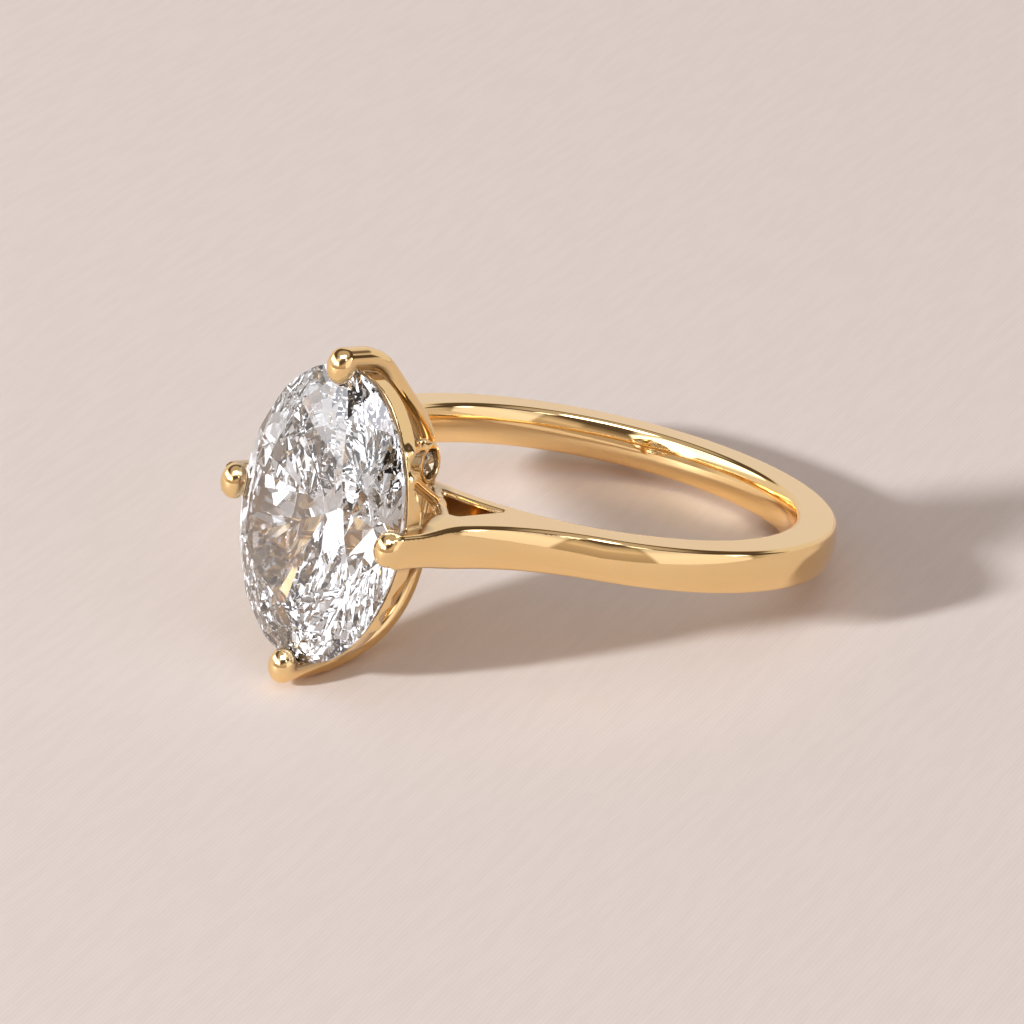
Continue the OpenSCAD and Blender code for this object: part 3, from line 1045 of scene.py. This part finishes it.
# %% [markdown]
# ## The cloth floor
#
# The ring rests on pale cloth. Its weave is far finer than the ring, so a flat
# sheet with a pattern is enough. Bands of two close colours are the threads'
# rows, and a noise that is stretched along them makes some threads thicker.

# %% The floor
floor_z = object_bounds()[0][2]
floor_size = 1.2
floor_corners = np.array([[-1, -1], [1, -1], [1, 1], [-1, 1]]) * floor_size / 2
floor_mesh = bpy.data.meshes.new("floor")
floor_mesh.from_pydata([(x, y, floor_z) for x, y in floor_corners], [], [(0, 1, 2, 3)])
floor = bpy.data.objects.new("floor", floor_mesh)
bpy.context.scene.collection.objects.link(floor)
print("the floor lies at", round(floor_z / MM, 3), "mm, the dressed ring's lowest point")

# %% The floor's weave
thread_pitch = 0.000173
thread_turn = math.radians(18.5 + 90)
thread_wobble = 0.6
slub_waves = 2600
slub_squash = 0.12
dark_thread = (0.825, 0.712, 0.635)
light_thread = (0.843, 0.736, 0.66)
slub_shade = (0.975, 0.973, 0.97)
floor_material, tree, shader = new_material("pale_floor")
shader.inputs["Roughness"].default_value = 0.75
threads = node("ShaderNodeMapping")
wired(threads, "Vector", node("ShaderNodeTexCoord").outputs["Object"])
wired(threads, "Rotation", (0, 0, -thread_turn))
thread_rows = node("ShaderNodeTexWave", wave_type="BANDS", bands_direction="X")
wired(thread_rows, "Vector", threads.outputs[0])
wired(thread_rows, "Scale", math.pi / 10 / thread_pitch)
wired(thread_rows, "Distortion", thread_wobble)
wired(thread_rows, "Detail Scale", 40)
slubs = node("ShaderNodeMapping")
wired(slubs, "Vector", threads.outputs[0])
wired(slubs, "Scale", (1, slub_squash, 1))
grain = spread(noise(slubs.outputs[0], slub_waves, 2), 0.35, 0.65, 0.0, 1.0)
weave = mixed("MIX", thread_rows.outputs["Fac"], dark_thread, light_thread)
wired(shader, "Base Color", mixed("MULTIPLY", grain, weave, slub_shade))
floor_mesh.materials.append(floor_material)
print("thread rows are", round(thread_pitch / MM, 3), "mm apart")

# %% [markdown]
# ## The camera
#
# A product photographer stands well back with a long lens, which keeps the
# ring's circles from bulging. The place and the three directions were fitted
# to the circles of the band, and they are given in the upright frame.

# %% The camera at the photograph's angle
camera_at = np.array([-176.87, -144.72, 58.99])
looking = np.array([0.7413, 0.6206, -0.2557])
picture_right = np.array([0.6682, -0.7182, 0.1940])
picture_up = np.array([0.0632, 0.3147, 0.9471])
focal_part = 6043 / 1024
sensor = 36
axes = leaned(np.stack([picture_right, picture_up, -looking]))
camera_data = bpy.data.cameras.new("camera")
camera_data.sensor_width = sensor
camera_data.lens = sensor * focal_part
camera_data.clip_start = 0.01
camera_data.clip_end = 10
camera = bpy.data.objects.new("camera", camera_data)
bpy.context.scene.collection.objects.link(camera)
camera_turn = Matrix(axes.T.tolist()).to_4x4()
camera.matrix_world = Matrix.Translation(Vector(leaned(camera_at) * MM)) @ camera_turn
bpy.context.scene.camera = camera
print("lens", round(camera_data.lens), "mm,", round(np.linalg.norm(camera_at)), "mm from the ring")

# %% [markdown]
# ## The key lamp
#
# A window's light comes from one side and casts soft, long shadows. A round
# lamp far away does the same: its width, as the ring sees it, sets how soft
# the shadows' edges are, and its low place sets how long they are.

# %% A key lamp whose shadows fall as in daylight from a window


def towards(azimuth, elevation):
    """The direction (cos a cos e, sin a cos e, sin e), with azimuth 0 along +X, in degrees."""
    a, e = math.radians(azimuth), math.radians(elevation)
    return np.array([math.cos(a) * math.cos(e), math.sin(a) * math.cos(e), math.sin(e)])


key_azimuth = 165
key_elevation = 20
key_away = 1.2
key_spread = 5.0
key_data = bpy.data.lights.new("key", "AREA")
key_data.shape = "DISK"
key_data.size = 2 * key_away * math.tan(math.radians(key_spread / 2))
key_data.energy = 19.6
key_data.color = (0.87, 0.93, 1.0)
key = bpy.data.objects.new("key", key_data)
key.location = towards(key_azimuth, key_elevation) * key_away
key.rotation_euler = Vector(key.location).to_track_quat("Z", "Y").to_euler()
bpy.context.scene.collection.objects.link(key)
print("the key lamp is", round(key_data.size / MM), "mm across,", key_away, "m away")

# %% [markdown]
# ## The studio
#
# Polished gold shows little but what stands round it, so the studio is built
# for the ring: walls that change with height, and glowing or dark cards. All
# of it is the world's colour as a function of direction, so it costs no
# geometry and is the same from every camera. A card is a flat rectangle that
# is seen in a direction.

# %% Helpers for the studio
world = bpy.data.worlds.new("studio")
world.use_nodes = True
tree = world.node_tree
bpy.context.scene.world = world
look_way = node("ShaderNodeTexCoord").outputs["Generated"]


def facing(direction):
    """How far each look points along the given direction, from -1 to 1: their dot product."""
    dot = node("ShaderNodeVectorMath", operation="DOT_PRODUCT")
    tree.links.new(look_way, dot.inputs[0])
    dot.inputs[1].default_value = tuple(float(v) for v in direction)
    return dot.outputs["Value"]


def ramp(value, stops):
    """A colour ramp with (place, colour) stops, eased between them."""
    made = node("ShaderNodeValToRGB")
    tree.links.new(value, made.inputs[0])
    made.color_ramp.interpolation = "EASE"
    elements = made.color_ramp.elements
    while len(elements) > 1:
        elements.remove(elements[-1])
    elements[0].position = stops[0][0]
    elements[0].color = (*stops[0][1], 1)
    for place, colour in stops[1:]:
        elements.new(place).color = (*colour, 1)
    return made.outputs["Color"]


def window_card(azimuth, elevation, half_wide, half_high, soft, colour=None):
    """A flat rectangle in a direction, where |aside / ahead| < tan of its half size in degrees."""
    front = towards(azimuth, elevation)
    right = towards(azimuth + 90, 0)
    up = np.cross(front, right)
    ahead = facing(front)
    shade = computed("GREATER_THAN", ahead, 0.05)
    for side, half in ((right, half_wide), (up, half_high)):
        aside = computed("ABSOLUTE", computed("DIVIDE", facing(side), ahead))
        outer = math.tan(math.radians(half + soft))
        inner = math.tan(math.radians(half - soft))
        shade = computed("MULTIPLY", shade, spread(aside, outer, inner, 0, 1))
    return shade if colour is None else mixed("MULTIPLY", 1.0, shade, colour)


def added(sky, *cards):
    """The sky with the light of each card added to it."""
    for card in cards:
        sky = mixed("ADD", 1.0, sky, card)
    return sky


# %% Walls, room and cards
brown_shade = (0.11, 0.085, 0.07)
camera_azimuth = 232
height = facing((0, 0, 1))
walls = ramp(height, [
    (0.0, (0.84, 0.78, 0.74)),
    (0.42, (0.84, 0.79, 0.76)),
    (0.52, brown_shade),
    (0.72, brown_shade),
    (0.86, (0.55, 0.50, 0.46)),
])
room = ramp(height, [
    (0.0, (0.48, 0.40, 0.34)),
    (0.26, (0.60, 0.50, 0.43)),
    (0.38, (0.26, 0.21, 0.17)),
    (0.46, brown_shade),
    (0.60, (0.12, 0.095, 0.08)),
    (0.74, (0.56, 0.53, 0.60)),
])
camera_side = spread(facing(towards(camera_azimuth, 0)), -0.1, 0.35, 0, 1)
sky = mixed("MIX", camera_side, walls, room)
sky = mixed("MIX", window_card(318, 24, 16, 19, 4), sky, (0.09, 0.07, 0.055))
sky = added(
    sky,
    window_card(282, 13, 25, 15, 1.5, (0.62, 0.66, 0.78)),
    window_card(242, 20, 11, 5, 3, (0.3, 0.28, 0.27)),
    window_card(184, 32, 13, 14, 3, (0.8, 0.8, 0.8)),
    window_card(258, 33, 5, 5, 2, (3.0, 3.0, 3.0)),
)
print("the studio so far has", len(tree.nodes), "nodes")

# %% [markdown]
# ## A light of its own for each kind of ray
#
# One room rarely suits gold, stone and cloth together. Here the kind of ray
# chooses what it meets, which no real studio can do. Mirror rays see three
# more bright cards, which would wash out the cloth if they also lit it. Rays
# that a stone has just let through see a light room with one dark side. Any
# other ray that has been through a stone, such as one mirrored after it, sees
# the sky dimmed. A card's numbers are its azimuth, its elevation, its half
# width, its half height and its soft rim in degrees.

# %% Glints for mirrors, and the stones' own room
glints = added(
    sky,
    window_card(152, 29, 44, 10, 2, (2.2, 2.25, 2.4)),
    window_card(224, 62, 20, 12, 3, (9.0, 9.0, 9.8)),
    window_card(304, 15, 5, 5, 2, (4.0, 4.0, 4.4)),
)
gem_room = ramp(facing(towards(180, 13)), [
    (0.0, (0.12, 0.08, 0.04)),
    (0.1, (0.20, 0.14, 0.09)),
    (0.2, (1.75, 1.75, 1.85)),
    (0.45, (1.6, 1.66, 1.78)),
    (0.7, (1.85, 1.88, 2.0)),
    (0.9, (1.75, 1.8, 1.92)),
])
gem_room = mixed("MIX", window_card(223, 28, 29, 23, 3), gem_room, (0.13, 0.08, 0.04))
gem_room = added(
    gem_room,
    window_card(190, 60, 12, 12, 2, (1.5, 1.5, 1.5)),
    window_card(140, 30, 10, 12, 2, (1.2, 1.2, 1.3)),
)
print("with the stones' room it has", len(tree.nodes), "nodes")

# %% Choose by the kind of ray
dimmed = (0.22, 0.22, 0.22)
world_strength = 0.95
ray = node("ShaderNodeLightPath")
sky = mixed("MIX", ray.outputs["Is Glossy Ray"], sky, glints)
behind_stone = computed("GREATER_THAN", ray.outputs["Transmission Depth"], 0.5)
sky = mixed("MIX", behind_stone, sky, mixed("MULTIPLY", 1.0, sky, dimmed))
sky = mixed("MIX", ray.outputs["Is Transmission Ray"], sky, gem_room)
background = tree.nodes["Background"]
tree.links.new(sky, background.inputs["Color"])
background.inputs["Strength"].default_value = world_strength
print("the world's strength is", world_strength)

# %% [markdown]
# ## Enough bounces
#
# Light crosses a brilliant many times before it leaves, and a ray that runs
# out of bounces adds nothing. So rays here may bounce 24 times, twice what
# Blender allows at first.

# %% Let light travel far enough inside the stones
cycles = bpy.context.scene.cycles
cycles.max_bounces = 24
cycles.glossy_bounces = 16
cycles.transmission_bounces = 24
bpy.context.scene.view_settings.view_transform = "Standard"
print("light may bounce", cycles.max_bounces, "times")
